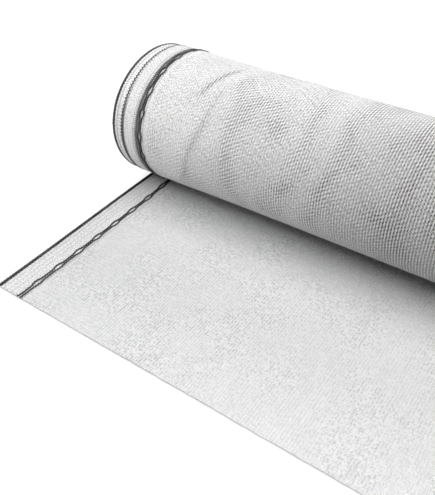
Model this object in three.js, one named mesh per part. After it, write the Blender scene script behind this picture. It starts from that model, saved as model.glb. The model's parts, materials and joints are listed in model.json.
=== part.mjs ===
// A roll of white scaffold netting lying on its side, with the last stretch of the net run out flat on the
// floor. Millimetres, +Z up. X runs along the roll, the loose end lies towards -Y, and the origin is on the
// floor, in the middle of the roll's flat spot.
import * as THREE from "three";

// Cloth sizes. The net is knitted with a dark edge yarn and a row of eyelets along each side.
const netWidth = 2000;
const netThickness = 1.5;
const seatGap = 0.3;
const edgeYarnWidth = 3;
const stripWidth = 42;

// Roll sizes. The roll has sagged a little, so it is wider than it is tall.
const rollHalfWidth = 90;
const rollHalfHeight = 84.7;
const flatDepth = 1.6;
const seamY = -10;
const wrapStep = netThickness + seatGap;
const underWrapsStickOut = 14.4;
const roundSteps = 64;
const seamSlit = 0.3;

// Loose end sizes, from the seam under the roll to the cut end.
const looseLength = 317.7;
const cutSkew = 0.002;
const edgeDrawIn = 3.5;
const edgeSteps = 12;

// Eyelet sizes. Two dark yarns run together and open round each eyelet.
const eyeletLength = 13;
const eyeletWidth = 5;
const eyeletPitch = 33.3;
const firstEyeletY = -56.2;
const leastCutMargin = 4;
const eyeletInset = 30.5;
const eyeletDrift = 3.3;
const driftShare = 0.3;
const eyeletPitchWound = 19.4;
const firstEyeletWound = 186.1;
const chainYarnWidth = 2;
const chainYarnThickness = 1;
const chainApartOpen = 3.6;
const chainApartShut = 1.15;
const firstEyeletBack = -8;
const lastEyeletFront = 7;

// Unevenness of the wound cloth. The crease's places round the roll are in degrees from the top, and negative
// in front.
const endWander = 2.7;
const wanderFurthestLeft = 252;
const wanderReach = 110;
const selvedgeBulge = 1.6;
const bulgeReach = 190;
const swellHeight = 0.5;
const swellLength = 95;
const swellLean = 1.3;
const creaseHeight = 1.4;
const creaseFromEnd = 122;
const creaseMiddle = -35;
const creaseFrontEnd = -125;
const creaseBackEnd = 50;
const creaseFade = 40;
const creaseSlant = 0.32;
const creaseWidth = 20;

const degree = Math.PI / 180;
const fullTurn = 2 * Math.PI;
const edgeX = netWidth / 2;
const rollCentreZ = rollHalfHeight - flatDepth;
const seamAngle = Math.asin(seamY / rollHalfWidth);
const looseBackY = seamY - seatGap;

const whiteNet = new THREE.MeshStandardMaterial({ color: 0xeceded, roughness: 0.62, metalness: 0 });
const denseNet = new THREE.MeshStandardMaterial({ color: 0xf6f6f5, roughness: 0.58, metalness: 0 });
const darkYarn = new THREE.MeshStandardMaterial({ color: 0x33363a, roughness: 0.5, metalness: 0 });

const group = new THREE.Group();
group.name = "scaffold_netting_roll";

function addPiece(name, geometry, material) {
  const mesh = new THREE.Mesh(geometry, material);
  mesh.name = name;
  group.add(mesh);
}

function smooth(t) {
  const c = Math.min(Math.max(t, 0), 1);
  return c * c * (3 - 2 * c);
}

function bell(t) {
  return Math.exp(-t * t);
}

// Moves every corner of a geometry, then turns the faces round if the move has turned them inside out.
function reshape(geometry, place) {
  const solid = new THREE.BufferGeometry();
  const corners = geometry.getAttribute("position").clone();
  for (let i = 0; i < corners.count; i += 1) {
    const moved = place(corners.getX(i), corners.getY(i), corners.getZ(i), i);
    corners.setXYZ(i, moved.x, moved.y, moved.z);
  }
  solid.setAttribute("position", corners);
  solid.setIndex(Array.from(geometry.index.array));
  if (signedVolume(solid) < 0) {
    solid.setIndex(Array.from(solid.index.array).reverse());
  }
  solid.computeVertexNormals();
  return solid;
}

function signedVolume(geometry) {
  const corners = geometry.getAttribute("position");
  const index = geometry.index.array;
  const [a, b, c] = [new THREE.Vector3(), new THREE.Vector3(), new THREE.Vector3()];
  let volume = 0;
  for (let i = 0; i < index.length; i += 3) {
    a.fromBufferAttribute(corners, index[i]);
    b.fromBufferAttribute(corners, index[i + 1]);
    c.fromBufferAttribute(corners, index[i + 2]);
    volume += a.dot(b.cross(c)) / 6;
  }
  return volume;
}

// A yarn or band: a box cut into steps along its length. place takes the share across, along and through it,
// each from 0 to 1, and gives the corner's real position.
function band(steps, place) {
  const box = new THREE.BoxGeometry(1, 1, 1, 1, steps, 1);
  return reshape(box, (x, y, z) => place(x + 0.5, y + 0.5, z + 0.5));
}

// How far the net's sides wander along the roll at one angle round it, counted from the bottom up the back.
function sideWander(angle) {
  return -endWander * Math.cos(2 * (angle - wanderFurthestLeft * degree));
}

// The soft swells of the wound cloth: fuller over the thick selvedges, a slow wave, and one slanting crease
// near the left end, over the top and down the front.
function woundSwell(x, angle) {
  const fromEnd = edgeX - Math.abs(x);
  const bulge = selvedgeBulge * (1 - smooth(fromEnd / bulgeReach));
  const lean = swellLean * Math.sin(angle);
  const slowWave = swellHeight * Math.sin(x / swellLength + lean) * Math.sin(angle / 2);
  const fromTop = (Math.PI - angle) / degree;
  const creaseX = -edgeX + creaseFromEnd + creaseSlant * (fromTop - creaseMiddle);
  const shownInFront = smooth((fromTop - creaseFrontEnd) / creaseFade);
  const shownAtBack = smooth((creaseBackEnd - fromTop) / creaseFade);
  const crease = creaseHeight * shownInFront * shownAtBack * bell((x - creaseX) / creaseWidth);
  return bulge + slowWave + crease;
}

// One point of the wound cloth. turn is the angle from the seam, up the back, over the top and down the
// front. inset is how far inside the outermost cloth it lies. Each turn lies one cloth further in, as in a
// spiral, and the underside is pressed flat on the floor, or on the loose end in front of the seam.
function woundPoint(x, turn, inset) {
  const angle = seamAngle + turn;
  const rim = 1 - inset / rollHalfWidth;
  const spiral = wrapStep * (turn / fullTurn);
  const outward = (woundSwell(x, angle) - spiral) / rollHalfWidth;
  const share = Math.max(rim + outward * Math.min(1, 4 * rim), 0);
  const pressedLevel = (turn > Math.PI ? wrapStep : 0) + (inset * rollCentreZ) / rollHalfWidth;
  const endShare = smooth((wanderReach - (edgeX - Math.abs(x))) / wanderReach);
  const y = rollHalfWidth * share * Math.sin(angle);
  const z = rollCentreZ - rollHalfHeight * share * Math.cos(angle);
  return new THREE.Vector3(x + sideWander(angle) * endShare * rim, y, Math.max(z, pressedLevel));
}

// The wound net is one solid with its end faces a little uneven, where the wraps stand in and out.
const endFaceRings = [
  { inset: 90, sunk: 6 },
  { inset: 70, sunk: 2 },
  { inset: 46, sunk: 4.5 },
  { inset: 22, sunk: 1 },
];
const leftStations = [40, 70, 95, 120, 145, 175, 220, 290, 400, 560, 780];
const rightStations = [780, 520, 280, 140, 60];

function rollProfile() {
  const leftFace = -edgeX - underWrapsStickOut;
  const seatEnd = edgeYarnWidth + seatGap;
  const underYarn = 2 * wrapStep;
  return [
    ...endFaceRings.map((ring) => ({ x: leftFace + ring.sunk, inset: ring.inset })),
    { x: leftFace, inset: underYarn },
    { x: leftFace + seatEnd, inset: underYarn },
    { x: leftFace + seatEnd, inset: wrapStep },
    { x: -edgeX + seatEnd, inset: wrapStep },
    { x: -edgeX + seatEnd, inset: 0 },
    ...leftStations.map((fromEnd) => ({ x: fromEnd - edgeX, inset: 0 })),
    { x: 0, inset: 0 },
    ...rightStations.map((fromEnd) => ({ x: edgeX - fromEnd, inset: 0 })),
    { x: edgeX - seatEnd, inset: 0 },
    { x: edgeX - seatEnd, inset: wrapStep },
    { x: edgeX, inset: wrapStep },
    ...endFaceRings.toReversed().map((ring) => ({ x: edgeX - ring.sunk, inset: ring.inset })),
  ];
}

function turnOfStep(step) {
  return (step * (fullTurn - seamSlit / rollHalfWidth)) / (roundSteps - 1);
}

function makeRoll() {
  const profile = rollProfile();
  const outline = profile.map((p) => new THREE.Vector2(rollHalfWidth - p.inset, p.x));
  const lathe = new THREE.LatheGeometry(outline, roundSteps);
  return reshape(lathe, (x, y, z, i) => {
    const station = profile[i % profile.length];
    const step = Math.floor(i / profile.length) % roundSteps;
    return woundPoint(station.x, turnOfStep(step), station.inset);
  });
}

// Edge yarn of one wrap on the roll. It is the rim of that wrap, so it goes once round, from the seam to the
// seam.
function makeWoundEdgeYarn(outerX, inwards, inset) {
  return band(roundSteps - 1, (u, v, w) => {
    const turn = turnOfStep(v * (roundSteps - 1));
    return woundPoint(outerX + inwards * edgeYarnWidth * u, turn, inset + netThickness * w);
  });
}

// The side edge of the loose end draws in a little towards the cut.
function looseShare(y) {
  return (looseBackY - y) / looseLength;
}

function looseEdge(y) {
  return edgeX - (edgeDrawIn * (1 - Math.cos(Math.PI * looseShare(y)))) / 2;
}

function cutY(x) {
  return -looseLength - cutSkew * (x + edgeX);
}

// The row of eyelets drifts inwards where the cloth leaves the roll, and then keeps its distance.
function eyeletRow(y) {
  return looseEdge(y) - eyeletInset - eyeletDrift * smooth(looseShare(y) / driftShare);
}

// The plain net between the two eyelet strips, cut off a little out of square.
function makeLooseNet() {
  const halfWidth = edgeX - stripWidth - seatGap / 2;
  const outline = new THREE.Shape([
    new THREE.Vector2(-halfWidth, looseBackY),
    new THREE.Vector2(-halfWidth, cutY(-halfWidth)),
    new THREE.Vector2(halfWidth, cutY(halfWidth)),
    new THREE.Vector2(halfWidth, looseBackY),
  ]);
  return new THREE.ExtrudeGeometry(outline, { depth: netThickness, bevelEnabled: false });
}

function eyeletHole(x, y) {
  const radius = eyeletWidth / 2;
  const reach = eyeletLength / 2 - radius;
  const hole = new THREE.Path();
  hole.absarc(x, y + reach, radius, 0, Math.PI, false);
  hole.absarc(x, y - reach, radius, Math.PI, fullTurn, false);
  hole.closePath();
  return hole;
}

// The close-knit strip along one side of the loose end, with its row of eyelets. side is -1 on the left.
function makeEyeletStrip(side) {
  const innerX = side * (edgeX - stripWidth + seatGap / 2);
  const frontY = cutY(side * edgeX);
  const corners = [new THREE.Vector2(innerX, looseBackY), new THREE.Vector2(innerX, frontY)];
  for (let i = edgeSteps; i >= 0; i -= 1) {
    const y = looseBackY + (frontY - looseBackY) * (i / edgeSteps);
    corners.push(new THREE.Vector2(side * (looseEdge(y) - edgeYarnWidth - seatGap), y));
  }
  const outline = new THREE.Shape(corners);
  for (let y = firstEyeletY; y - eyeletLength / 2 > frontY + leastCutMargin; y -= eyeletPitch) {
    outline.holes.push(eyeletHole(side * eyeletRow(y), y));
  }
  return new THREE.ExtrudeGeometry(outline, { depth: netThickness, bevelEnabled: false, curveSegments: 4 });
}

function makeLooseEdgeYarn(side) {
  const frontY = cutY(side * edgeX);
  return band(edgeSteps, (u, v, w) => {
    const y = looseBackY + (frontY - looseBackY) * v;
    return new THREE.Vector3(side * (looseEdge(y) - edgeYarnWidth * u), y, netThickness * w);
  });
}

// The two dark yarns bend at four places in each pitch: open along the eyelet and shut between two eyelets.
// Stations are counted from the one just before eyelet 0, and places are in pitches from that eyelet's
// middle.
const chainBends = [
  { place: -0.2, apart: chainApartOpen },
  { place: 0.2, apart: chainApartOpen },
  { place: 0.4, apart: chainApartShut },
  { place: 0.6, apart: chainApartShut },
];

function chainStation(number) {
  const eyelet = Math.floor(number / chainBends.length);
  const bend = chainBends[number - eyelet * chainBends.length];
  return { pitches: eyelet + bend.place, apart: bend.apart };
}

// A chain yarn from one station to another. lane is -1 or 1 for the yarn's place beside the eyelets.
function chainYarn(first, last, lane, place) {
  return band(last - first, (u, v, w) => {
    const station = chainStation(first + Math.round(v * (last - first)));
    return place(station.pitches, lane * station.apart + chainYarnWidth * (u - 0.5), w);
  });
}

// One of the two dark yarns on the loose end, from under the front of the roll to the cut.
function makeLooseChainYarn(side, lane) {
  const cut = cutY(side * edgeX);
  const pitchesToCut = (firstEyeletY - cut) / eyeletPitch;
  const first = -1;
  let last = first;
  while (chainStation(last).pitches < pitchesToCut) {
    last += 1;
  }
  return chainYarn(first, last, lane, (pitches, aside, w) => {
    const y = firstEyeletY - Math.min(pitches, pitchesToCut) * eyeletPitch;
    const z = netThickness + seatGap + chainYarnThickness * w;
    return new THREE.Vector3(side * (eyeletRow(y) + aside), y, z);
  });
}

// The same yarn on the roll, from where the cloth leaves the floor at the back to where it meets it in front.
function makeWoundChainYarn(side, lane) {
  const first = chainBends.length * firstEyeletBack - 1;
  const last = chainBends.length * (lastEyeletFront + 1) - 1;
  const row = edgeX - eyeletInset;
  return chainYarn(first, last, lane, (pitches, aside, w) => {
    const turn = (firstEyeletWound + pitches * eyeletPitchWound) * degree - seamAngle;
    return woundPoint(side * (row + aside), turn, -seatGap - chainYarnThickness * w);
  });
}

addPiece("wound_net", makeRoll(), whiteNet);
addPiece("loose_net", makeLooseNet(), whiteNet);
addPiece("edge_yarn_left_under_wraps", makeWoundEdgeYarn(-edgeX - underWrapsStickOut, 1, wrapStep), darkYarn);

for (const [sideName, side] of [["left", -1], ["right", 1]]) {
  addPiece(`eyelet_strip_${sideName}`, makeEyeletStrip(side), denseNet);
  addPiece(`edge_yarn_${sideName}_loose`, makeLooseEdgeYarn(side), darkYarn);
  addPiece(`edge_yarn_${sideName}_wound`, makeWoundEdgeYarn(side * edgeX, -side, 0), darkYarn);
  for (const [laneName, lane] of [["inner", -1], ["outer", 1]]) {
    addPiece(`eyelet_yarn_${sideName}_loose_${laneName}`, makeLooseChainYarn(side, lane), darkYarn);
    addPiece(`eyelet_yarn_${sideName}_wound_${laneName}`, makeWoundChainYarn(side, lane), darkYarn);
  }
}

export default group;
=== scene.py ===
import json
import math
import bpy
import numpy as np
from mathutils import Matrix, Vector

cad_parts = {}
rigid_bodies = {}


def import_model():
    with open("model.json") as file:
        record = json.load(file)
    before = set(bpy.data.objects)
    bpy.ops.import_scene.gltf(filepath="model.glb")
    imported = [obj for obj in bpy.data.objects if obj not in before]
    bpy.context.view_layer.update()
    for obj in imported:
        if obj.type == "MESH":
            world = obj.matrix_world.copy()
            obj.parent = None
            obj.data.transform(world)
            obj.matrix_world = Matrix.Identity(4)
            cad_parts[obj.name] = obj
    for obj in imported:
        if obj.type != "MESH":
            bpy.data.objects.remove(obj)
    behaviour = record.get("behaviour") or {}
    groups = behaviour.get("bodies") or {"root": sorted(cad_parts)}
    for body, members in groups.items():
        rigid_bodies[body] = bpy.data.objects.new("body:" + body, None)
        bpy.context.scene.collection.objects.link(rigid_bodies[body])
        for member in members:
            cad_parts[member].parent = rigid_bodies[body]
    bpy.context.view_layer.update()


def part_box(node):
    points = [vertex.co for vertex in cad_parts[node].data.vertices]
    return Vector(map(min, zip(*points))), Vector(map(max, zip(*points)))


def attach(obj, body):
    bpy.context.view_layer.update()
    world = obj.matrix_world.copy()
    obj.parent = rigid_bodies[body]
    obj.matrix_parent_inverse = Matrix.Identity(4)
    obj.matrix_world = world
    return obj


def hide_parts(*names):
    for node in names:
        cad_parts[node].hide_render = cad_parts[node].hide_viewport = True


# A roll of white scaffold netting on its side, with the last stretch of the net run out on the floor.
# Metres, +Z up. X runs along the roll and the loose end lies towards -Y.
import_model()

degree = math.pi / 180
fullTurn = 2 * math.pi
mm = 0.001

roll = {
    "edgeX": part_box("edge_yarn_right_loose")[1].x,
    "halfWidth": 90 * mm,
    "halfHeight": 84.7 * mm,
    "flatDepth": 1.6 * mm,  # how much of the roll the floor presses flat
    "seamY": -10 * mm,  # where the loose end leaves the roll
    "wrapStep": 1.8 * mm,
    "underWraps": 14.4 * mm,  # how far the earlier wraps stand out at the left
    "strip": 42 * mm,  # width of the close-knit strip along each side
    "edgeYarn": 3 * mm,
}
loose = {
    "backY": roll["seamY"] - 0.3 * mm,
    "length": 317.7 * mm,
    "cutSkew": 0.002,
    "drawIn": 3.5 * mm,
    "top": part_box("loose_net")[1].z,
}
uneven = {
    "sideWander": 2.7 * mm,
    "furthestLeft": 252,  # degrees from the bottom, up the back and over the top
    "wanderReach": 110 * mm,
    "selvedgeBulge": 1.6 * mm,
    "bulgeReach": 190 * mm,
    "swell": 0.5 * mm,
    "swellLength": 95 * mm,
    "swellLean": 1.3,
}
eyelets = {
    "pitch": 33.3 * mm,
    "firstY": -56.2 * mm,
    "inset": 30.5 * mm,
    "drift": 3.3 * mm,  # how far the row moves inwards where the cloth leaves the roll
    "driftShare": 0.3,
    "halfLength": 6.5 * mm,
    "halfWidth": 2.5 * mm,
    "pitchWound": 19.4,  # degrees
    "firstWound": 186.1,
    "backMost": -8,
    "frontMost": 7,
    "leastCutMargin": 4 * mm,
}
creaseFade = 12  # degrees to each side of a crease's ends
foldShadeLine = {"at": 0.9, "width": 1.6}  # of the crease's right width, and in millimetres
# Soft creases of the outer wrap. Places are degrees from the top, negative in front, and millimetres along
# X. The first two have a painted shade line at their right foot.
creases = [
    {"height": 1.4, "left": 13, "right": 4, "foldShade": 1,
     "places": [(2, -885), (-10, -894), (-22, -901), (-34, -907)]},
    {"height": 1.9, "left": 14, "right": 6, "foldShade": 0.25,
     "places": [(-20, -883), (-45, -888), (-58, -889), (-82, -901), (-107, -911), (-125, -922)]},
    {"height": 0.8, "left": 16, "right": 12, "places": [(30, -800), (-10, -792), (-60, -760), (-110, -735)]},
    {"height": 0.7, "left": 14, "right": 14, "places": [(60, -560), (0, -585), (-50, -640), (-100, -655)]},
    {"height": 0.9, "left": 18, "right": 12, "places": [(95, -300), (20, -340), (-60, -330), (-110, -300)]},
    {"height": 0.9, "left": 12, "right": 20, "places": [(120, 420), (40, 380), (-40, 400), (-110, 460)]},
    {"height": 1.0, "left": 8, "right": 15, "places": [(110, 880), (40, 900), (-30, 885), (-100, 905)]},
]
edgeX = roll["edgeX"]
rollCentreZ = roll["halfHeight"] - roll["flatDepth"]
seamAngle = math.asin(roll["seamY"] / roll["halfWidth"])
stripInner = edgeX - roll["strip"]
woundRow = edgeX - eyelets["inset"]


# A socket of a node tree. Sums written with it become Math nodes.
class Wire:
    def __init__(self, tree, socket=None):
        self.tree = tree
        self.socket = socket

    # Adds any node: its type, its settings, and the values or wires of its sockets.
    def node(self, kind, settings=None, inputs=None, output=0):
        made = self.tree.nodes.new(kind)
        for key, value in (settings or {}).items():
            setattr(made, key, value)
        for key, value in (inputs or {}).items():
            target = self.find(made.inputs, key)
            if isinstance(value, Wire):
                self.tree.links.new(value.socket, target)
            else:
                target.default_value = value
        return Wire(self.tree, self.find(made.outputs, output) if len(made.outputs) else None)

    @staticmethod
    def find(sockets, key):
        if isinstance(key, int):
            return sockets[key]
        return next((s for s in sockets if s.identifier == key), None) or sockets[key]

    def math(self, operation, *values):
        return self.node("ShaderNodeMath", {"operation": operation}, dict(enumerate(values)))

    def __add__(self, other):
        return self.math("ADD", self, other)

    def __radd__(self, other):
        return self.math("ADD", other, self)

    def __sub__(self, other):
        return self.math("SUBTRACT", self, other)

    def __rsub__(self, other):
        return self.math("SUBTRACT", other, self)

    def __mul__(self, other):
        return self.math("MULTIPLY", self, other)

    def __rmul__(self, other):
        return self.math("MULTIPLY", other, self)

    def __truediv__(self, other):
        return self.math("DIVIDE", self, other)

    def floor(self):
        return self.math("FLOOR", self)

    def fraction(self):
        return self.math("FRACT", self)

    def size(self):
        return self.math("ABSOLUTE", self)

    # Falls from 0.5 at each whole number to 0 halfway to the next.
    def wave(self):
        return (self.fraction() - 0.5).size()

    def most(self, other):
        return self.math("MAXIMUM", self, other)

    # Rises softly from 0 at low to 1 at high.
    def step(self, low, high):
        settings = {"interpolation_type": "SMOOTHSTEP"}
        return self.node("ShaderNodeMapRange", settings, {"Value": self, "From Min": low, "From Max": high})

    # Grey level low where this is 0 and high where it is 1, each a number, a wire or a colour.
    def mix(self, low, high):
        def asColour(value):
            return value if isinstance(value, Wire) else (value, value, value, 1)
        inputs = {"Factor_Float": self, "A_Color": asColour(low), "B_Color": asColour(high)}
        return self.node("ShaderNodeMix", {"data_type": "RGBA"}, inputs, "Result_Color")

    def part(self, number):
        return self.node("ShaderNodeSeparateXYZ", {}, {0: self}, number)

    def vector(self, *parts):
        return self.node("ShaderNodeCombineXYZ", {}, dict(enumerate(parts)))

    def vectors(self, operation, *values):
        return self.node("ShaderNodeVectorMath", {"operation": operation}, dict(enumerate(values)))

    def surface(self):
        return self.node("ShaderNodeTexCoord", {}, {}, "Object")

    # A piece's own UV map and its two parts.
    def weave(self):
        uv = self.node("ShaderNodeUVMap", {"uv_map": "weave"})
        return uv, uv.part(0), uv.part(1)

    def noise(self, scale, detail):
        return self.node("ShaderNodeTexNoise", {}, {"Vector": self, "Scale": scale, "Detail": detail})


def smooth(t):
    c = np.clip(t, 0, 1)
    return c * c * (3 - 2 * c)


# Millimetres to the right of a crease, and how much it shows, at x and an angle from the bottom up the back.
def besideCrease(crease, x, angle):
    fromTop = (math.pi - angle) / degree
    places = sorted(crease["places"])
    degrees = [place[0] for place in places]
    line = np.interp(fromTop, degrees, [place[1] * mm for place in places])
    setsIn = smooth((fromTop - degrees[0] + creaseFade) / (2 * creaseFade))
    fades = smooth((degrees[-1] + creaseFade - fromTop) / (2 * creaseFade))
    return (x - line) / mm, setsIn * fades


def creaseHeight(x, angle):
    height = np.zeros(np.broadcast(x, angle).shape)
    for crease in creases:
        aside, shown = besideCrease(crease, x, angle)
        width = np.where(aside < 0, crease["left"], crease["right"])
        height = height + crease["height"] * mm * shown * np.exp(-((aside / width) ** 2))
    return height


# The painted shade lines at the feet of the creases, from 0 to 1.
def foldShadeLines(x, angle):
    foldShade = np.zeros(np.broadcast(x, angle).shape)
    for crease in creases:
        aside, shown = besideCrease(crease, x, angle)
        narrow = (aside - crease["right"] * foldShadeLine["at"]) / foldShadeLine["width"]
        foldShade = np.maximum(foldShade, crease.get("foldShade", 0) * shown * np.exp(-(narrow ** 2)))
    return foldShade


def sideWander(angle):
    return -uneven["sideWander"] * np.cos(2 * (angle - uneven["furthestLeft"] * degree))


def woundSwell(x, angle):
    fromEnd = edgeX - np.abs(x)
    bulge = uneven["selvedgeBulge"] * (1 - smooth(fromEnd / uneven["bulgeReach"]))
    lean = uneven["swellLean"] * np.sin(angle)
    slowWave = uneven["swell"] * np.sin(x / uneven["swellLength"] + lean) * np.sin(angle / 2)
    return bulge + slowWave + creaseHeight(x, angle)


# A point of the wound cloth. turn is the angle from the seam, up the back, over the top and down the front,
# and inset is how far under the outermost cloth it lies. The underside is pressed flat.
def woundPoint(x, turn, inset):
    angle = seamAngle + turn
    rim = 1 - inset / roll["halfWidth"]
    spiral = roll["wrapStep"] * (turn / fullTurn)
    outward = (woundSwell(x, angle) - spiral) / roll["halfWidth"]
    share = np.maximum(rim + outward * np.minimum(1, 4 * rim), 0)
    pressed = np.where(turn > math.pi, roll["wrapStep"], 0) + inset * rollCentreZ / roll["halfWidth"]
    reach = uneven["wanderReach"]
    endShare = smooth((reach - (edgeX - np.abs(x))) / reach)
    y = roll["halfWidth"] * share * np.sin(angle)
    z = np.maximum(rollCentreZ - roll["halfHeight"] * share * np.cos(angle), pressed)
    return np.stack(np.broadcast_arrays(x + sideWander(angle) * endShare * rim, y, z), -1)


def looseShare(y):
    return (loose["backY"] - y) / loose["length"]


def looseEdge(y):
    return edgeX - loose["drawIn"] * (1 - np.cos(math.pi * looseShare(y))) / 2


def cutY(x):
    return -loose["length"] - loose["cutSkew"] * (x + edgeX)


def eyeletRow(y):
    return looseEdge(y) - eyelets["inset"] - eyelets["drift"] * smooth(looseShare(y) / eyelets["driftShare"])


def newObject(name, data):
    made = bpy.data.objects.new(name, data)
    bpy.context.scene.collection.objects.link(made)
    return made


# The plain mesh that an object's modifier makes. The object goes.
def finishedMesh(holder):
    graph = bpy.context.evaluated_depsgraph_get()
    mesh = bpy.data.meshes.new_from_object(holder.evaluated_get(graph))
    bpy.data.objects.remove(holder)
    return mesh


def addPiece(name, mesh, material, slot, *replaced):
    piece = newObject(name, mesh)
    mesh.materials.clear()
    mesh.materials.append(material)
    mesh.shade_smooth()
    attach(piece, "root")
    if replaced:
        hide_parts(*replaced)
    return piece


# A mesh with its own UV map, from one place on the map for each corner of each face.
def mappedMesh(name, points, faces, uv):
    mesh = bpy.data.meshes.new(name)
    mesh.from_pydata(points.tolist(), [], faces.tolist())
    layer = mesh.uv_layers.new(name="weave")
    layer.data.foreach_set("uv", uv.reshape(-1).astype(np.float32))
    mesh.validate()
    return mesh


# A mesh from rows and columns of points, with its own UV map. keep says which of its squares are there, and
# foldShade is a number for each point, the painted shade of the creases' fold lines.
def gridMesh(name, grid, uv, closed=False, flip=False, keep=None, foldShade=None):
    rows, columns = grid.shape[:2]
    row, column = np.meshgrid(np.arange(rows if closed else rows - 1), np.arange(columns - 1), indexing="ij")
    if keep is not None:
        row, column = row[keep], column[keep]
    cornerRow = np.stack([row, row, row + 1, row + 1], -1).reshape(-1, 4)
    cornerColumn = np.stack([column, column + 1, column + 1, column], -1).reshape(-1, 4)
    if flip:
        cornerRow, cornerColumn = cornerRow[:, ::-1], cornerColumn[:, ::-1]
    corners = (cornerRow % rows) * columns + cornerColumn
    used, faces = np.unique(corners, return_inverse=True)
    mesh = mappedMesh(name, grid.reshape(-1, 3)[used], faces.reshape(-1, 4), uv[cornerRow, cornerColumn])
    if foldShade is not None:
        attribute = mesh.attributes.new("foldShade", "FLOAT", "POINT")
        attribute.data.foreach_set("value", foldShade.reshape(-1)[used].astype(np.float32))
    return mesh


# The same UV numbers for every row or column of a grid.
def gridUv(along, across):
    v, u = np.meshgrid(along, across, indexing="ij")
    return np.stack([u, v], -1)


# Runs a Geometry Nodes tree and returns the plain mesh that it makes.
def runTree(name, tree, values, start=None):
    holder = newObject(name + "Holder", start or bpy.data.meshes.new(name + "Start"))
    modifier = holder.modifiers.new("Nodes", "NODES")
    modifier.node_group = tree
    for item in tree.interface.items_tree:
        if item.in_out == "INPUT" and item.name in values:
            modifier[item.identifier] = values[item.name]
    return finishedMesh(holder)


# Starts a Geometry Nodes tree with named inputs: a whole number, a size, or None for a material. Returns the
# tree and a wire for each input.
def newTree(name, inputs):
    kinds = {int: "Int", float: "Float", type(None): "Material"}
    tree = bpy.data.node_groups.new(name, "GeometryNodeTree")
    tree.interface.new_socket("Geometry", in_out="INPUT", socket_type="NodeSocketGeometry")
    for key, value in inputs.items():
        kind = "NodeSocket" + kinds[type(value)]
        socket = tree.interface.new_socket(key, in_out="INPUT", socket_type=kind)
        if value is not None:
            socket.default_value = value
    tree.interface.new_socket("Geometry", in_out="OUTPUT", socket_type="NodeSocketGeometry")
    source = tree.nodes.new("NodeGroupInput")
    wires = {socket.name: Wire(tree, socket) for socket in source.outputs if socket.name}
    return tree, wires


def joined(start, *parts):
    both = start.node("GeometryNodeJoinGeometry")
    for part in parts:
        start.tree.links.new(part.socket, both.socket.node.inputs[0])
    return both


# A tube along a curve, with closed ends. flat is the scale of its section, where that isn't round.
def tube(curve, sides, radius, flat=None):
    ring = curve.node("GeometryNodeCurvePrimitiveCircle", {}, {"Resolution": sides, "Radius": radius})
    if flat is not None:
        ring = curve.node("GeometryNodeTransform", {}, {"Geometry": ring, "Scale": flat})
    return curve.node("GeometryNodeCurveToMesh", {},
                      {"Curve": curve, "Profile Curve": ring, "Fill Caps": True})


# Every tree ends in real meshes with a material.
def endTree(tree, geometry, material):
    real = geometry.node("GeometryNodeRealizeInstances", {}, {"Geometry": geometry})
    finished = real.node("GeometryNodeSetMaterial", {}, {"Geometry": real, "Material": material})
    sink = tree.nodes.new("NodeGroupOutput")
    tree.links.new(finished.socket, sink.inputs[0])


def newMaterial(name):
    material = bpy.data.materials.new(name)
    material.use_nodes = True
    material.node_tree.nodes.clear()
    return material, Wire(material.node_tree)


# Finishes a material with one Principled shader.
def finishMaterial(start, colour, roughness, height=None, depth=0, constants=None):
    inputs = {"Base Color": colour, "Roughness": roughness, "Specular IOR Level": 0.4, **(constants or {})}
    if height is not None:
        bump = {"Strength": 1, "Distance": depth, "Height": height}
        inputs["Normal"] = start.node("ShaderNodeBump", {}, bump)
    shader = start.node("ShaderNodeBsdfPrincipled", {}, inputs)
    start.node("ShaderNodeOutputMaterial", {}, {"Surface": shader})


netLook = {
    "yarn": (0.97, 1.0, 0.90),  # close to the ends of the roll, farther in, and farthest
    "inlay": (0.90, 0.94, 0.72),
    "shadedInnerYarn": (0.68, 0.60, 0.34),  # the wrap beneath, seen through a gap in painted shade
    # painted shadow deep between the wraps, lighter close to the ends
    "deepGapShadow": (0.34, 0.01, 0.01),
    "pressed": 0.55,  # and the even painted shade of the gaps low in front, where the wraps are pressed together
    "pressedReach": (70 * mm, 20 * mm),  # above the floor
    "waleHalf": (0.25, 0.26, 0.25),  # of a wale's pitch
    "inlayHalf": (0.20, 0.16, 0.15),
    "waleRim": (0.7, 1.15),  # where a yarn's soft rim starts and ends, of its half width
    "inlayRim": (0.6, 1.2),
    "jag": 0.16,  # how far a wale swings to each side, of its pitch
    "jagBeat": 1.5,  # its swings in a zigzag
    "waver": 0.22,
    "shift": 0.414,  # how much later each gap's yarn crosses than its neighbour's
    "bead": 0.12,  # how much darker the ends of a stitch are: painted shade at the knots
    "reach": (70 * mm, 190 * mm, 230 * mm, 380 * mm),  # where the second look sets in, and the third
    "drift": 2.4,
    "beat": 0.05,
    "patches": (0.045, 0.055, 1),
    "speckle": 0.30,
    # grey of the painted shade along the crease fold lines
    "foldShade": 0.06,
    "roughness": 0.5,
    "bump": 0.7 * mm,
}


# How much of the cloth its yarns cover, at u in wales and v in zigzags: the straight wales, and the yarn
# that slants across each gap between two of them.
def knitCover(u, v, waleHalf, inlayHalf):
    nearest = (u + 0.5).floor()
    swing = ((v * netLook["jagBeat"] + nearest * 0.23).wave() - 0.25) * 4
    fromWale = (u - nearest + swing * netLook["jag"]).size()
    aside = (u + v + u.floor() * netLook["shift"]).wave()
    wale = 1 - (fromWale / waleHalf).step(*netLook["waleRim"])
    inlay = 1 - (aside / inlayHalf).step(*netLook["inlayRim"])
    return wale, inlay
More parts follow.
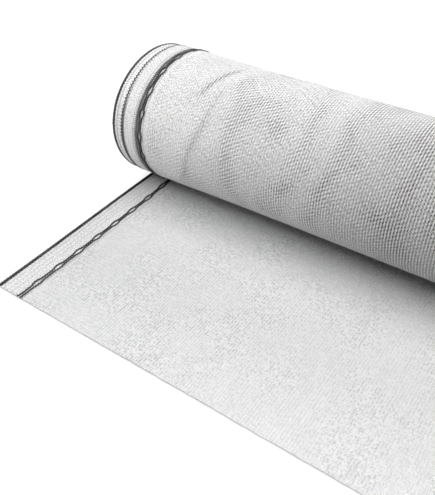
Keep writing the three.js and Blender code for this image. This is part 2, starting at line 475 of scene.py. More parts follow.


# White net on the roll: its knitted yarns, and in the gaps painted shade: the wrap beneath in shadow, whose
# own yarns drift against these, and a painted shadow deep between both, darker farther in from the ends.
def makeNetMaterial():
    material, start = newMaterial("woundNetFinish")
    uv, wale, course = start.weave()
    place = start.surface()
    slow = start.vectors("MULTIPLY", uv, netLook["patches"])
    drift = slow.noise(1, 2)
    patch = slow.noise(1.4, 3)
    fine = uv.noise(1.1, 2)
    grain = uv.noise(1.9, 3)
    waver = (fine - 0.5) * netLook["waver"]
    secondFrom, secondTo, thirdFrom, thirdTo = netLook["reach"]
    fromEnd = edgeX - place.part(0).size()
    second = fromEnd.step(secondFrom, secondTo) * (0.8 + 0.4 * patch)
    third = fromEnd.step(thirdFrom, thirdTo)

    def toward(looks):
        return looks[0] + second * (looks[1] - looks[0]) + third * (looks[2] - looks[1])
    ribs, inlay = knitCover(wale + waver, course + waver * 0.5, toward(netLook["waleHalf"]),
                            toward(netLook["inlayHalf"]))
    cover = ribs.most(inlay)
    under = knitCover(wale * (1 + netLook["beat"]) + drift * netLook["drift"], course + patch * 3,
                      toward(netLook["waleHalf"]), toward(netLook["inlayHalf"]))
    underCover = under[0].most(under[1])
    # Painted shade in the gaps: the wrap beneath in shadow and a painted shadow deep between, evened low in
    # front.
    shadeSeenThrough = underCover.mix(toward(netLook["deepGapShadow"]), toward(netLook["shadedInnerYarn"]))
    pressed = place.part(2).step(*netLook["pressedReach"])
    shadeSeenThrough = (pressed * 0.8).mix(shadeSeenThrough, netLook["pressed"])
    nearest = (wale + 0.5).floor()
    bead = (course * 2 + nearest * 0.37).wave() * 2
    rib = toward(netLook["yarn"]) - (0.6 - fine) * 0.12 - bead * netLook["bead"]
    yarn = ribs.mix(toward(netLook["inlay"]), rib)
    yarn = (grain.step(0.56, 0.30) * 0.85).mix(yarn, netLook["speckle"])
    # Painted shade along the crease fold lines, darkest in the gaps between the wales.
    foldShade = start.node("ShaderNodeAttribute", {"attribute_name": "foldShade"}, {}, "Fac")
    colour = (foldShade * (1 - ribs * 0.8)).mix(cover.mix(shadeSeenThrough, yarn), netLook["foldShade"])
    height = ribs * 0.6 + cover * 0.4
    roughness = netLook["roughness"] + (1 - cover) * 0.25 + (fine - 0.5) * 0.1
    finishMaterial(start, colour, roughness, height, netLook["bump"])
    return material


stripLook = {
    "white": 0.93,
    # the same strip lying on the floor, painted a shade darker
    "looseShadedWhite": 0.84,
    # grey of the painted shade in the grooves between ribs
    "rib": 0.50,
    "ribPitch": 1.95,  # millimetres, as all sizes of the strips' pattern
    "stitchPitch": 1.6,
    "dotPitch": 2.7,
    "groove": (0.30, 0.48),  # from a rib's middle, of the pitch
    "stitchDark": 0.15,
    "grainDark": 1.3,
    "line": 0.22,
    "roughness": 0.5,
    "bump": 0.35 * mm,
}
# Fine lines along the strips: millimetres from the side edge, half width, darkness, and how dotted they are.
outerWrapLines = [(4.6, 1.6, 0.7, 0.9), (19.7, 1.0, 0.6, 0.35), (35.3, 1.0, 0.6, 0.5)]
underWrapLines = [(7.0, 1.4, 1, 0.9)]
looseLines = [(8.0, 1.1, 0.45, 0.4), (14.4, 1.1, 0.35, 0.5), (20.2, 1.1, 0.35, 0.4), (37.2, 0.9, 0.4, 0.8)]
shownYarn = {"at": 25.4, "half": 3.6, "dark": 0.95, "tone": 0.07, "lowFrom": 340, "lowTo": 430}


# Close-knit strip. Its UV map is in millimetres, from the side edge inwards and along the cloth. Through the
# outermost wrap shows the dark yarn of the one beneath. Low in front that band is wider and the strip is
# darker near its side edge.
def makeStripMaterial(name, white, lines, through):
    material, start = newMaterial(name)
    uv, inwards, along = start.weave()
    fine = uv.noise(0.6, 2)
    broad = uv.noise(0.06, 2)
    grain = uv.noise(0.62, 3)
    groove = (inwards / stripLook["ribPitch"]).wave().step(*stripLook["groove"])
    stitch = (along / stripLook["stitchPitch"]).wave()
    dots = (along / stripLook["dotPitch"]).wave().step(0.12, 0.30)
    # Painted shade in the grooves between the ribs, with darker stitch marks and grain.
    grooveShadeAndMarks = groove * (0.2 + 0.4 * broad.step(0.35, 0.62)) * (0.55 + 0.45 * fine)
    grooveShadeAndMarks = grooveShadeAndMarks + stitch * stripLook["stitchDark"] + grain.step(0.56, 0.34) * stripLook["grainDark"]
    colour = grooveShadeAndMarks.mix(white, stripLook["rib"])
    wander = (broad - 0.5) * 1.6 + (fine - 0.5) * 1.2
    for at, half, dark, dotted in lines:
        onLine = 1 - (inwards + wander * 0.4 - at).size().step(half * 0.3, half)
        colour = (onLine * dark * (1 - dots * dotted)).mix(colour, stripLook["line"])
    if through:
        low = along.step(shownYarn["lowFrom"], shownYarn["lowTo"])
        aside = (inwards + wander - shownYarn["at"]).size()
        serrated = 0.4 + 0.6 * dots
        onYarn = 1 - (aside / (serrated * shownYarn["half"] * (1 + low * 0.3))).step(0.7, 1.1)
        fringe = 1 - (inwards + wander - 3.5).size().step(1.2, 3)
        shown = onYarn.most(fringe * low) * shownYarn["dark"] * (0.6 + 0.9 * grain)
        colour = shown.mix(colour, shownYarn["tone"])
    height = (1 - groove) * 0.8 + stitch * 0.3 + fine * 0.3
    finishMaterial(start, colour, stripLook["roughness"] + (fine - 0.5) * 0.15, height, stripLook["bump"])
    return material


yarnLook = {"dark": 0.012, "worn": 0.075, "roughness": 0.42, "bump": 0.2 * mm}


def makeYarnMaterial():
    material, start = newMaterial("darkYarnFinish")
    place = start.surface()
    fine = place.noise(900, 2)
    broad = place.noise(60, 3)
    colour = (fine * 0.5 + broad * 0.5).step(0.35, 0.75).mix(yarnLook["dark"], yarnLook["worn"])
    roughness = yarnLook["roughness"] + (broad - 0.5) * 0.3
    finishMaterial(start, colour, roughness, fine, yarnLook["bump"], {"Specular IOR Level": 0.5})
    return material


strandLook = {"white": 1.0, "shade": 0.64, "coursePitch": 2.7 * mm, "roughness": 0.5, "bump": 0.2 * mm}


# Yarns of the loose net, with the beads of their stitches along them.
def makeStrandMaterial():
    material, start = newMaterial("looseNetFinish")
    place = start.surface()
    fine = place.noise(420, 2)
    broad = place.noise(18, 2)
    bead = (place.part(1) / strandLook["coursePitch"]).wave() * 2
    patchy = broad.step(0.42, 0.60)
    tone = bead * 0.15 + 0.2 + (fine.step(0.36, 0.64) - 0.5) * (0.4 + 0.45 * patchy) + broad * 0.35
    colour = tone.mix(strandLook["white"], strandLook["shade"])
    roughness = strandLook["roughness"] + (fine - 0.5) * 0.2
    finishMaterial(start, colour, roughness, 1 - bead, strandLook["bump"])
    return material


endLook = {"dark": 0.02, "white": 0.70, "roughness": 0.55, "bump": 0.3 * mm}


# End of the roll: the dark edge yarns of all its wraps, with slivers of white cloth between them.
def makeEndMaterial():
    material, start = newMaterial("endFinish")
    uv, wrap, along = start.weave()
    fine = uv.noise(1.3, 2)
    broad = start.vector(wrap, along * 0.03).noise(0.7, 3)
    fromCrest = (wrap * 2).wave() * 2
    white = fromCrest.step(0.62, 0.9) * (0.25 + 0.75 * broad.step(0.4, 0.62))
    colour = (white + fine * 0.08).mix(endLook["dark"], endLook["white"])
    height = (1 - fromCrest) + fine * 0.5
    finishMaterial(start, colour, endLook["roughness"] + (fine - 0.5) * 0.2, height, endLook["bump"])
    return material


woundNet = {"wales": 581, "around": 96, "grooveDepth": 0.3 * mm, "zigzag": 5.4 * mm}


# The plain net on the roll, with its wales as real ribs. Each half of its length is a piece of its own.
def makeWoundNet(material):
    pitch = 2 * stripInner / woundNet["wales"]
    half = woundNet["wales"] // 2 + 1
    turns = np.linspace(0, fullTurn, woundNet["around"], endpoint=False)
    rimLength = math.pi * (roll["halfWidth"] + roll["halfHeight"])
    zigzags = round(rimLength / woundNet["zigzag"])
    for name, first, last in (("woundNetLeft", 0, half), ("woundNetRight", half, woundNet["wales"])):
        stations = np.arange(2 * first, 2 * last + 1) / 2
        inset = np.where(stations % 1 == 0, 0, woundNet["grooveDepth"])
        x = -stripInner + stations * pitch
        grid = woundPoint(x[None, :], turns[:, None], inset[None, :])
        along = np.linspace(0, zigzags, woundNet["around"] + 1)
        foldShade = foldShadeLines(x[None, :], seamAngle + turns[:, None])
        mesh = gridMesh(name, grid, gridUv(along, stations), closed=True, foldShade=foldShade)
        addPiece(name, mesh, material, "white_net", "wound_net")


woundStrip = {"around": 180, "ribs": 20, "grooveDepth": 0.3 * mm, "rise": 0.1 * mm, "underYarn": 0.8}
eyeletRim = (0.72, 1.25)  # corners this far from an eyelet's middle are pulled onto its rim


# Pushes the corners round an eyelet onto its rim and says which squares of a grid are left.
def cutEyelets(aside, ahead, centres):
    inside = np.zeros(aside.shape, bool)
    for centreAside, centreAhead in centres:
        a = (aside - centreAside) / eyelets["halfWidth"]
        b = (ahead - centreAhead) / eyelets["halfLength"]
        reach = np.sqrt(a * a + b * b)
        near = (reach > eyeletRim[0]) & (reach < eyeletRim[1])
        aside = np.where(near, centreAside + (aside - centreAside) / np.maximum(reach, 0.01), aside)
        ahead = np.where(near, centreAhead + (ahead - centreAhead) / np.maximum(reach, 0.01), ahead)
        inside |= reach <= eyeletRim[0]
    keep = ~(inside[:-1, :-1] | inside[1:, :-1] | inside[:-1, 1:] | inside[1:, 1:])
    return aside, ahead, keep


# Close-knit strip on the roll, over the earlier wraps. side is -1 on the left.
def makeWoundStrip(side, sideName, material):
    outer = edgeX - roll["edgeYarn"] * woundStrip["underYarn"]
    stations = np.linspace(0, woundStrip["ribs"], 3 * woundStrip["ribs"] + 1)
    across = outer + (stripInner - outer) * stations / woundStrip["ribs"]
    turns = np.linspace(0, fullTurn, woundStrip["around"] + 1)
    ahead, aside = np.meshgrid(turns * roll["halfWidth"], across, indexing="ij")
    centres = []
    for k in range(eyelets["backMost"], eyelets["frontMost"] + 1):
        turn = (eyelets["firstWound"] + k * eyelets["pitchWound"]) * degree - seamAngle
        centres.append((woundRow, turn * roll["halfWidth"]))
    aside, ahead, keep = cutEyelets(aside, ahead, centres)
    inset = np.where(np.arange(len(stations)) % 3 == 0, woundStrip["grooveDepth"], 0) - woundStrip["rise"]
    grid = woundPoint(side * aside, ahead / roll["halfWidth"], inset[None, :])
    uv = np.stack([(edgeX - aside) / mm, ahead / mm], -1)
    mesh = gridMesh("woundStrip" + sideName, grid, uv, flip=side > 0, keep=keep)
    addPiece("woundStrip" + sideName, mesh, material, "close_knit_strip")


underStrip = {
    "around": 120,
    "step": 0.65 * mm,  # across it, three to a rib
    "grooveDepth": 0.3 * mm,
    "lap": 2 * mm,  # how far it goes on under the net
    "risesFrom": 8 * mm,  # from the outer wrap's side, where it is one step down
    "risesTo": 20 * mm,
    "inset": 0.8 * mm,
}


# The strip of the wraps under the outermost one, with the side that stands out at the left.
def makeUnderStrip(side, sideName, material):
    standOut = roll["underWraps"] if side < 0 else 0
    outer = edgeX + standOut - roll["edgeYarn"] * 0.5
    inner = stripInner - underStrip["lap"]
    count = round((outer - inner) / underStrip["step"])
    across = np.linspace(outer, inner, count)
    turns = np.linspace(0, fullTurn, underStrip["around"] + 1)
    rise = [edgeX - underStrip["risesTo"], edgeX - underStrip["risesFrom"]]
    inset = np.interp(across, rise, [underStrip["inset"], roll["wrapStep"]])
    inset = inset + np.where(np.arange(count) % 3 == 0, underStrip["grooveDepth"], 0)
    grid = woundPoint(side * across[None, :], turns[:, None], inset[None, :])
    uv = gridUv(turns * roll["halfWidth"] / mm, (edgeX + standOut - across) / mm)
    mesh = gridMesh("underStrip" + sideName, grid, uv, flip=side > 0)
    addPiece("underStrip" + sideName, mesh, material, "close_knit_strip")


endFace = {
    "wraps": 58,
    "around": 96,
    "crest": 1.1 * mm,
    "setBack": 0.5 * mm,
    "underStrip": 0.2 * mm,
    "telescope": 1.3 * mm,
    "bends": 7,  # of each wrap's edge
    "section": (0, 0.34, 0.67),  # its crest and two feet, of a wrap
    "wrapScale": 0.05,  # metres along a wrap for each radian
    "seeds": {-1: 31, 1: 57},
    # how far the wraps are sunk at some depths under the outermost one, in millimetres
    "sunk": [(3.6, 0.4), (22, 1), (46, 4.5), (70, 2), (90, 6)],
}


# One end of the roll, as the spiral of its wraps' edges, each a rib that stands in or out a little.
def makeEndFace(side, sideName, material):
    start = np.random.default_rng(endFace["seeds"][side])
    count = endFace["wraps"] * endFace["around"] + 1
    turn = np.arange(count) * fullTurn / endFace["around"]
    firstInset = 2 * roll["wrapStep"] + endFace["underStrip"]
    pitch = (roll["halfWidth"] - firstInset) / (endFace["wraps"] + 1)
    bends = start.normal(0, 1, endFace["wraps"] * endFace["bends"] + 2)
    at = turn / fullTurn * endFace["bends"]
    shift = np.interp(at, np.arange(len(bends)), bends) * endFace["telescope"] * 0.5
    wrapShift = np.interp(turn / fullTurn, np.arange(endFace["wraps"] + 1),
                          start.normal(0, 1, endFace["wraps"] + 1)) * endFace["telescope"]
    places = np.array(endFace["section"])
    rise = np.array([-endFace["crest"], 0, 0])
    inset = firstInset + pitch * (turn[:, None] / fullTurn + places)
    depths, sinks = zip(*endFace["sunk"])
    sunk = np.interp(inset / mm, depths, sinks) * mm
    out = edgeX + (roll["underWraps"] if side < 0 else 0)
    x = out - sunk + rise - endFace["setBack"] - np.abs(shift + wrapShift)[:, None]
    grid = woundPoint(side * x, np.mod(turn, fullTurn)[:, None], inset)
    alongWrap = turn[:, None] * endFace["wrapScale"] / mm
    uv = np.stack(np.broadcast_arrays(turn[:, None] / fullTurn + places, alongWrap), -1)
    last = count - 1 - endFace["around"]
    i = np.arange(last)
    faces = []
    for a, b, step in ((0, 1, 0), (1, 2, 0), (2, 0, endFace["around"])):
        quad = np.stack([i * 3 + a, (i + 1) * 3 + a, (i + 1 + step) * 3 + b, (i + step) * 3 + b], -1)
        faces.append(quad if side < 0 else quad[:, ::-1])
    faces = np.concatenate(faces)
    mesh = mappedMesh("end" + sideName, grid.reshape(-1, 3), faces, uv.reshape(-1, 2)[faces.reshape(-1)])
    addPiece("end" + sideName, mesh, material, "dark_yarn")


looseStrip = {
    "along": 100,
    "ribs": 20,
    "grooveDepth": 0.3 * mm,
    "thickness": 0.9 * mm,
    "drop": 0.1 * mm,  # under the solid's upper face
    "underYarn": 0.7,  # of the edge yarn's width
}


# Close-knit strip along one side of the loose end, with its eyelets cut through.
def makeLooseStrip(side, sideName, material):
    stations = np.linspace(0, looseStrip["ribs"], 3 * looseStrip["ribs"] + 1)
    share = stations / looseStrip["ribs"]
    frontY = cutY(side * edgeX)
    y = np.linspace(loose["backY"], frontY, looseStrip["along"] + 1)
    outer = looseEdge(y) - roll["edgeYarn"] * looseStrip["underYarn"]
    aside = outer[:, None] + (stripInner - outer[:, None]) * share[None, :]
    ahead = np.broadcast_to(y[:, None], aside.shape)
    centres = []
    centreY = eyelets["firstY"]
    while centreY - eyelets["halfLength"] > frontY + eyelets["leastCutMargin"]:
        centres.append((eyeletRow(centreY), centreY))
        centreY -= eyelets["pitch"]
    aside, ahead, keep = cutEyelets(aside, ahead, centres)
    groove = np.where(np.arange(len(stations)) % 3 == 0, looseStrip["grooveDepth"], 0)
    z = loose["top"] - looseStrip["drop"] - groove
    grid = np.stack(np.broadcast_arrays(side * aside, ahead, z), -1)
    uv = np.stack([(looseEdge(ahead) - aside) / mm, -ahead / mm], -1)
    name = "looseStrip" + sideName
    mesh = gridMesh(name, grid, uv, flip=side < 0, keep=keep)
    holder = newObject(name + "Holder", mesh)
    wall = holder.modifiers.new("Thickness", "SOLIDIFY")
    wall.thickness = looseStrip["thickness"]
    wall.offset = -1
    piece = addPiece(name, finishedMesh(holder), material, "close_knit_strip",
                     "eyelet_strip_" + sideName.lower())
    length = loose["backY"] - frontY


looseNet = {
    "wales": 581,
    "courses": 114,
    "waleWidth": 1.7 * mm,
    "waleThickness": 0.7 * mm,
    "inlayWidth": 1.0 * mm,
    "inlayReach": 0.86,  # of a wale's pitch
    "waleAt": 0.5,
    "inlayAt": 0.57,
    "inlayDrop": 0.1 * mm,
    "waver": 1.4 * mm,
    "unevenness": {"Scale": 45, "Detail": 3, "Roughness": 0.75},
    "waleSteps": 8,
}


# Loose net: straight wales, and between each two of them a yarn that runs to and fro across the gap.
def makeNetTree():
    tree, given = newTree("looseNet", {
        "Wales": 300,
        "First Wale": 0,
        "Wale Pitch": 3.2 * mm,
        "Courses": looseNet["courses"],
        "Length": 0.3,
        "Skew": loose["cutSkew"],
        "Left": -0.958,
        "Back": loose["backY"],
        "Height": 0.75 * mm,
        "Wale Width": looseNet["waleWidth"],
        "Wale Thickness": looseNet["waleThickness"],
        "Inlay Width": looseNet["inlayWidth"],
        "Waver": looseNet["waver"],
        "Seed": 7,
        "Material": None,
    })
    start = given["Wales"]

    # A copy of one strand for each wale, stretched to reach the slanting cut.
    def rows(strand, firstAt):
        x = given["Left"] + (given["First Wale"] + firstAt) * given["Wale Pitch"]
        line = start.node("GeometryNodeMeshLine", {"mode": "OFFSET", "count_mode": "TOTAL"}, {
            "Count": given["Wales"], "Start Location": start.vector(x, given["Back"], given["Height"]),
            "Offset": start.vector(given["Wale Pitch"])})
        placeX = start.node("GeometryNodeInputPosition").part(0)
        stretch = 1 + given["Skew"] * (placeX - given["Left"]) / given["Length"]
        return start.node("GeometryNodeInstanceOnPoints", {},
                          {"Points": line, "Instance": strand, "Scale": start.vector(1, stretch, 1)})

    def strandFrom(count, sides, width, thickness, shift):
        tip = start.vector(0, 0 - given["Length"])
        line = start.node("GeometryNodeCurvePrimitiveLine", {}, {"End": tip})
        line = start.node("GeometryNodeResampleCurve", {}, {"Curve": line, "Count": count})
        if shift is not None:
            line = start.node("GeometryNodeSetPosition", {}, {"Geometry": line, "Offset": shift})
        return tube(line, sides, 0.5, start.vector(width, thickness, 1))

    index = start.node("GeometryNodeInputIndex")
    sideToSide = (index * 0.5).fraction() * 2 * given["Wale Pitch"] * looseNet["inlayReach"]
    zigzag = start.vector(sideToSide, 0, -looseNet["inlayDrop"])
    wale = strandFrom(looseNet["waleSteps"] + 1, 4, given["Wale Width"], given["Wale Thickness"], None)
    inlay = strandFrom(given["Courses"] + 1, 3, given["Inlay Width"], given["Inlay Width"], zigzag)
    strands = joined(start, rows(wale, looseNet["waleAt"]), rows(inlay, looseNet["inlayAt"]))
    real = start.node("GeometryNodeRealizeInstances", {}, {"Geometry": strands})
    place = start.node("GeometryNodeInputPosition")
    seeded = start.vectors("ADD", place, start.vector(0, 0, given["Seed"] * 1.7))
    noise = start.node("ShaderNodeTexNoise", {}, {"Vector": seeded, **looseNet["unevenness"]}, "Color")
    centred = start.vectors("SUBTRACT", noise, (0.5, 0.5, 0.5))
    offset = start.vectors("MULTIPLY", centred, start.vector(given["Waver"] * 2, given["Waver"] * 2))
    moved = start.node("GeometryNodeSetPosition", {}, {"Geometry": real, "Offset": offset})
    endTree(tree, moved, given["Material"])
    return tree


def makeLooseNet(material):
    tree = makeNetTree()
    pitch = 2 * stripInner / looseNet["wales"]
    length = loose["backY"] - cutY(-stripInner)
    third = looseNet["wales"] // 3 + 1
    firsts = (("looseNetLeft", 0), ("looseNetMiddle", third), ("looseNetRight", 2 * third))
    for name, first in firsts:
        count = min(third, looseNet["wales"] - first)
        mesh = runTree(name, tree, {
            "Wales": count, "First Wale": first, "Wale Pitch": pitch, "Length": length, "Left": -stripInner,
            "Material": material,
        })
        piece = addPiece(name, mesh, material, "white_net", "loose_net")
        middle = -stripInner + (first + count / 2) * pitch
        area = count * pitch * (loose["backY"] - cutY(middle))
        reach = loose["backY"] - cutY(-stripInner + (first + count) * pitch)


# Sizes and greys of the painted shadow rim along the cut.
cutEdge = {"radius": 0.42 * mm, "lift": 0.3 * mm, "waver": 0.2 * mm, "steps": 400, "seed": 12,
           "dark": 0.322, "light": 0.598}


# The cut end of the net: a thin greyish rim along the cut, a painted shadow line under its edge.
def makeCutShadowRim():
    material, start = newMaterial("cutShadowRimFinish")
    fine = start.surface().noise(300, 2)
    finishMaterial(start, fine.mix(cutEdge["dark"], cutEdge["light"]), 0.5 + fine * 0.1)
    tree, given = newTree("rim", {"Radius": cutEdge["radius"], "Material": None})
    line = given["Radius"].node("GeometryNodeMeshToCurve", {}, {"Mesh": given["Geometry"]})
    endTree(tree, tube(line, 6, given["Radius"]), given["Material"])
    reach = looseEdge(cutY(0))
    x = np.linspace(-reach, reach, cutEdge["steps"])
    ragged = np.random.default_rng(cutEdge["seed"]).normal(0, cutEdge["waver"], len(x))
    points = np.stack([x, cutY(x) + ragged, np.full(len(x), loose["top"] / 2 + cutEdge["lift"])], -1)
    path = bpy.data.meshes.new("cutPath")
    path.from_pydata(points.tolist(), [(k, k + 1) for k in range(len(x) - 1)], [])
    mesh = runTree("cutEdge", tree, {"Radius": cutEdge["radius"], "Material": material}, path)
    addPiece("cutEdge", mesh, material, "white_net")


# A row of knitted stitches along a path. Each lies along the path, leaning to one side and then the other.
def makeStitchTree():
    tree, given = newTree("stitchRow", {
        "Length": 4 * mm,
        "Width": 1.5 * mm,
        "Thickness": 1.2 * mm,
        "Lean": 0.4,
        "Aside": 0.5 * mm,
        "Unevenness": 0.15,
        "Core": 0.5 * mm,
        "Seed": 3,
        "Material": None,
    })
    start = given["Length"]
    bead = start.node("GeometryNodeMeshUVSphere", {}, {"Segments": 5, "Rings": 4, "Radius": 0.5})
    named = {"data_type": "FLOAT_VECTOR"}
    along = start.node("GeometryNodeInputNamedAttribute", named, {"Name": "along"})
    outward = start.node("GeometryNodeInputNamedAttribute", named, {"Name": "outward"})
    turn = start.node("FunctionNodeAlignRotationToVector", {"axis": "X"}, {"Vector": along})
    turn = start.node("FunctionNodeAlignRotationToVector", {"axis": "Z", "pivot_axis": "X"},
                      {"Rotation": turn, "Vector": outward})
    index = start.node("GeometryNodeInputIndex")
    sideSign = (index * 0.5).fraction() * 4 - 1
    lean = start.node("FunctionNodeEulerToRotation", {}, {0: start.vector(0, 0, sideSign * given["Lean"])})
    turn = start.node("FunctionNodeRotateRotation", {"rotation_space": "LOCAL"}, {0: turn, 1: lean})
    chance = start.node("FunctionNodeRandomValue", {"data_type": "FLOAT"},
                        {"Min_001": -1.0, "Max_001": 1.0, "Seed": given["Seed"]}, "Value_001")
    grow = 1 + chance * given["Unevenness"]
    scale = start.vector(given["Length"] * grow, given["Width"] * grow, given["Thickness"])
    across = start.vectors("CROSS_PRODUCT", along, outward)
    push = start.node("ShaderNodeVectorMath", {"operation": "SCALE"},
                      {0: across, "Scale": sideSign * given["Aside"]})
    points = start.node("GeometryNodeSetPosition", {}, {"Geometry": given["Geometry"], "Offset": push})
    placed = start.node("GeometryNodeInstanceOnPoints", {},
                        {"Points": points, "Instance": bead, "Rotation": turn, "Scale": scale})
    line = start.node("GeometryNodeMeshToCurve", {}, {"Mesh": given["Geometry"]})
    endTree(tree, joined(start, placed, tube(line, 5, given["Core"])), given["Material"])
    return tree


# Equal steps along a path, as joined points that know the way along it and the way out of the cloth.
def stitchPoints(name, path, outward, pitch):
    steps = np.linalg.norm(np.diff(path, axis=0), axis=1)
    travelled = np.concatenate([[0], np.cumsum(steps)])
    count = max(int(travelled[-1] / pitch), 2)
    at = (np.arange(count) + 0.5) * travelled[-1] / count

    def sample(values, where):
        return np.stack([np.interp(where, travelled, values[:, k]) for k in range(3)], -1)
    ahead = sample(path, at + pitch * 0.4) - sample(path, at - pitch * 0.4)
    ahead /= np.linalg.norm(ahead, axis=1, keepdims=True)
    out = sample(outward, at)
    out /= np.linalg.norm(out, axis=1, keepdims=True)
    mesh = bpy.data.meshes.new(name)
    mesh.from_pydata(sample(path, at).tolist(), [(k, k + 1) for k in range(count - 1)], [])
    for key, values in (("along", ahead), ("outward", out)):
        attribute = mesh.attributes.new(key, "FLOAT_VECTOR", "POINT")
        attribute.data.foreach_set("vector", values.reshape(-1).astype(np.float32))
    return mesh


def addStitches(name, tree, material, path, outward, sizes, replaced):
    start = stitchPoints(name + "Path", path, outward, sizes["Pitch"])
    mesh = runTree(name, tree, {**sizes, "Material": material}, start)
    addPiece(name, mesh, material, "dark_yarn", replaced)


edgeStitches = {
    "Pitch": 2.1 * mm, "Length": 4.2 * mm, "Width": 2.8 * mm, "Thickness": 2.4 * mm,
    "Lean": 0.38, "Aside": 1.0 * mm, "Core": 1.8 * mm,
}
outerWrapStitches = {
    "Pitch": 2.2 * mm, "Length": 3.8 * mm, "Width": 2.2 * mm, "Thickness": 1.9 * mm,
    "Lean": 0.8, "Aside": 1.2 * mm, "Core": 0.9 * mm,
}
eyeletStitches = {
    "Pitch": 1.9 * mm, "Length": 3.4 * mm, "Width": 2.2 * mm, "Thickness": 1.5 * mm,
    "Lean": 0.45, "Aside": 0.35 * mm, "Core": 0.8 * mm,
}
# How far the two dark yarns stand from the eyelets' row in millimetres, by place in pitches from the middle
# of an eyelet. Towards the cut they slacken: the outer one bows out more and the inner runs nearly straight.
chain = {
    "places": [-0.5, -0.3, -0.23, -0.19, -0.14, -0.08, 0, 0.08, 0.14, 0.19, 0.23, 0.3, 0.5],
    "apart": [1.3, 1.32, 1.4, 1.7, 2.3, 2.75, 2.9, 2.75, 2.3, 1.7, 1.4, 1.32, 1.3],
    "slackFrom": -200 * mm,
    "slackTo": -290 * mm,
    "slackGap": 0.5,
    "slackBow": {-1: -0.6, 1: 0.15},  # of the inner yarn and the outer one
}


def chainApart(pitches, lane, y=0):
    apart = np.interp(pitches - np.floor(pitches + 0.5), chain["places"], chain["apart"])
    slack = smooth((chain["slackFrom"] - y) / (chain["slackFrom"] - chain["slackTo"]))
    shut = chain["apart"][0]
    bow = (apart - shut) * (1 + slack * chain["slackBow"][lane])
    return (shut + chain["slackGap"] * slack + bow) * mm


# Points on the roll and the way out of the cloth there.
def woundPath(x, turns, inset):
    path = woundPoint(x, turns, inset)
    outward = woundPoint(x, turns, inset - 1 * mm) - path
    return path, outward


# Where the middles of the dark yarns run: in from the side edge, under the wrap's face, and over the loose
# cloth.
yarnWay = {
    "edgeIn": 1.5 * mm, "woundEdgeIn": 1.9 * mm, "edgeInset": 0.6 * mm, "eyeletInset": -0.5 * mm,
    "looseEdgeRise": 0.3 * mm, "looseEyeletRise": 0.4 * mm, "seamGap": 0.004,
}


def makeDarkYarns(material):
    tree = makeStitchTree()

    def onRoll(name, x, turns, inset, sizes, replaced):
        path, outward = woundPath(x, turns, inset)
        addStitches(name, tree, material, path, outward, sizes, replaced)

    def onFloor(name, x, y, rise, sizes, replaced):
        path = np.stack([x, y, np.full(len(y), loose["top"] + rise)], -1)
        addStitches(name, tree, material, path, np.tile([0, 0, 1], (len(y), 1)), sizes, replaced)

    turns = np.linspace(yarnWay["seamGap"], fullTurn - yarnWay["seamGap"], 400)
    onRoll("underEdgeYarn", -edgeX - roll["underWraps"] + yarnWay["edgeIn"], turns,
           roll["wrapStep"] + yarnWay["edgeInset"], edgeStitches, "edge_yarn_left_under_wraps")
    for sideName, side in (("Left", -1), ("Right", 1)):
        small = sideName.lower()
        onRoll("edgeYarnWound" + sideName, side * (edgeX - yarnWay["woundEdgeIn"]), turns,
               yarnWay["edgeInset"], outerWrapStitches, f"edge_yarn_{small}_wound")
        cut = cutY(side * edgeX)
        y = np.linspace(loose["backY"], cut, 120)
        onFloor("edgeYarnLoose" + sideName, side * (looseEdge(y) - yarnWay["edgeIn"]), y,
                yarnWay["looseEdgeRise"], edgeStitches, f"edge_yarn_{small}_loose")
        for laneName, lane in (("Inner", -1), ("Outer", 1)):
            pitches = np.linspace(eyelets["backMost"] - 0.6, eyelets["frontMost"] + 0.8, 600)
            woundTurns = (eyelets["firstWound"] + pitches * eyelets["pitchWound"]) * degree - seamAngle
            apart = lane * chainApart(pitches, lane)
            onRoll(f"eyeletYarnWound{sideName}{laneName}", side * (woundRow + apart), woundTurns,
                   yarnWay["eyeletInset"], eyeletStitches, f"eyelet_yarn_{small}_wound_{laneName.lower()}")
            pitches = np.linspace(-1.2, (eyelets["firstY"] - cut) / eyelets["pitch"], 400)
            y = eyelets["firstY"] - pitches * eyelets["pitch"]
            apart = lane * chainApart(pitches, lane, y)
            onFloor(f"eyeletYarnLoose{sideName}{laneName}", side * (eyeletRow(y) + apart), y,
                    yarnWay["looseEyeletRise"], eyeletStitches,
                    f"eyelet_yarn_{small}_loose_{laneName.lower()}")


# through is how much of its glow comes up through the net, away from the roll. The fades say where the glow
# sets in: past the cloth's sides along X, and along Y before its cut, behind the roll and in front of it.
floorLook = {
    "bounce": 0.80,
    "seen": 0.25,
    "glow": 0.80,
    "through": 0.8,
    "sideFade": (0.985, 0.995),
    "cutFade": 2 * mm,
    "backFade": (0.02, 0.06),
    "frontFade": (-0.07, -0.16),
    "half": 30,
    "drop": 0.2 * mm,
}


# White floor. To the camera it glows a little outside the cloth, so that its shadows stay as faint as on a
# lit studio table.
def makeFloor():
    material, start = newMaterial("floorFinish")
    seen = start.node("ShaderNodeLightPath", {}, {}, "Is Camera Ray")
    place = start.surface()
    cloud = place.noise(1.5, 2)
    y = place.part(1)
    beside = place.part(0).size().step(*floorLook["sideFade"])
    before = y.step(cutY(0) + floorLook["cutFade"], cutY(0) - floorLook["cutFade"])
    bare = beside.most(before).most(y.step(*floorLook["backFade"]))
    lit = seen * bare.most(y.step(*floorLook["frontFade"]) * floorLook["through"])
    colour = lit.mix(floorLook["bounce"], floorLook["seen"])
    glow = lit.mix(0, floorLook["glow"])
    finishMaterial(start, colour, 0.8 + cloud * 0.1, constants={
        "Specular IOR Level": 0.1, "Emission Color": glow, "Emission Strength": 1})
    mesh = bpy.data.meshes.new("floor")
    corners = [(-1, -1), (1, -1), (1, 1), (-1, 1)]
    points = [(floorLook["half"] * x, floorLook["half"] * y, -floorLook["drop"]) for x, y in corners]
    mesh.from_pydata(points, [], [(0, 1, 2, 3)])
    mesh.materials.append(material)
    newObject("floor", mesh)


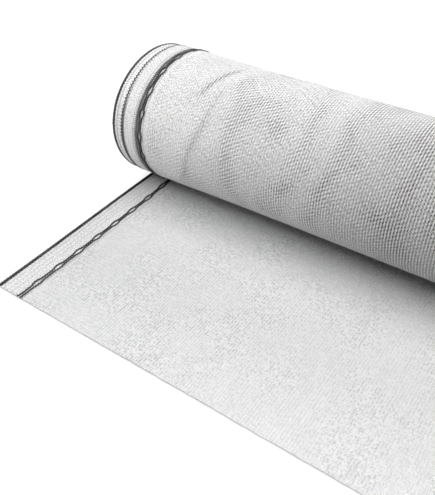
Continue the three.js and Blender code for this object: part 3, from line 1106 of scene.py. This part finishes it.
# Degrees: tilt is up from straight down, and turn is to the left.
view = {"lens": 46.85, "sensor": 36, "place": (-0.4919, -0.6166, 0.4950), "tilt": 50.52, "turn": 34.48}


# The camera stands in front of the roll's left part, at the photo's angle.
def makeCamera():
    camera = bpy.data.cameras.new("camera")
    camera.lens = view["lens"]
    camera.sensor_width = view["sensor"]
    camera.clip_start = 0.01
    holder = newObject("camera", camera)
    holder.location = view["place"]
    holder.rotation_euler = (view["tilt"] * degree, 0, view["turn"] * degree)
    bpy.context.scene.camera = holder


# Each light's kind, its place, what it points at, and its settings.
lights = {
    "topLight": ("SUN", (0, -0.08, 1), (0, 0, 0), {"energy": 3.15, "angle": 68 * degree}),
    "backLight": ("SUN", (-0.1, 1, 0.62), (0, 0, 0), {"energy": 1.6, "angle": 30 * degree}),
    "leftLight": ("SPOT", (-1.50, -0.50, 0.60), (-0.96, -0.02, 0.14),
                  {"energy": 9, "spot_size": 34 * degree, "spot_blend": 1, "shadow_soft_size": 0.08}),
    "lowLight": ("AREA", (-1.60, -0.35, 0.16), (-0.94, -0.09, 0.04),
                 {"energy": 1.0, "shape": "RECTANGLE", "size": 0.3, "size_y": 0.15}),
    "rightLight": ("AREA", (1.7, -0.9, 0.7), (0.8, 0, 0.08),
                   {"energy": 0.7, "shape": "RECTANGLE", "size": 0.7, "size_y": 0.5}),
}
worldFill = 0.05  # light of the white room, which the camera sees at full


def makeLights():
    for name, (kind, place, target, settings) in lights.items():
        light = bpy.data.lights.new(name, kind)
        for key, value in settings.items():
            setattr(light, key, value)
        holder = newObject(name, light)
        holder.location = place
        holder.rotation_euler = (Vector(place) - Vector(target)).to_track_quat("Z", "Y").to_euler()
        holder.visible_camera = False
    world = bpy.data.worlds.new("studio")
    world.use_nodes = True
    world.node_tree.nodes.clear()
    start = Wire(world.node_tree)
    seen = start.node("ShaderNodeLightPath", {}, {}, "Is Camera Ray")
    back = start.node("ShaderNodeBackground", {}, {"Strength": seen * (1 - worldFill) + worldFill})
    start.node("ShaderNodeOutputWorld", {}, {"Surface": back})
    bpy.context.scene.world = world
    bpy.context.scene.view_settings.view_transform = "Standard"


makeCamera()
makeLights()
makeFloor()
print("camera, lights and floor made")
makeWoundNet(makeNetMaterial())
outerMaterial = makeStripMaterial("outerWrapFinish", stripLook["white"], outerWrapLines, True)
underMaterial = makeStripMaterial("underWrapFinish", stripLook["white"], underWrapLines, False)
looseMaterial = makeStripMaterial("looseStripFinish", stripLook["looseShadedWhite"], looseLines, False)
endMaterial = makeEndMaterial()
for sideName, side in (("Left", -1), ("Right", 1)):
    makeWoundStrip(side, sideName, outerMaterial)
    makeUnderStrip(side, sideName, underMaterial)
    makeEndFace(side, sideName, endMaterial)
    makeLooseStrip(side, sideName, looseMaterial)
print("wound net, strips and ends made")
makeLooseNet(makeStrandMaterial())
makeCutShadowRim()
makeDarkYarns(makeYarnMaterial())
print("loose net and dark yarns made")
total = 0
for item in bpy.data.objects:
    if item.type == "MESH" and item.name != "floor":
        item.data.calc_loop_triangles()
        total += len(item.data.loop_triangles)
        print(item.name, len(item.data.loop_triangles), "triangles")
print(total, "triangles in all")
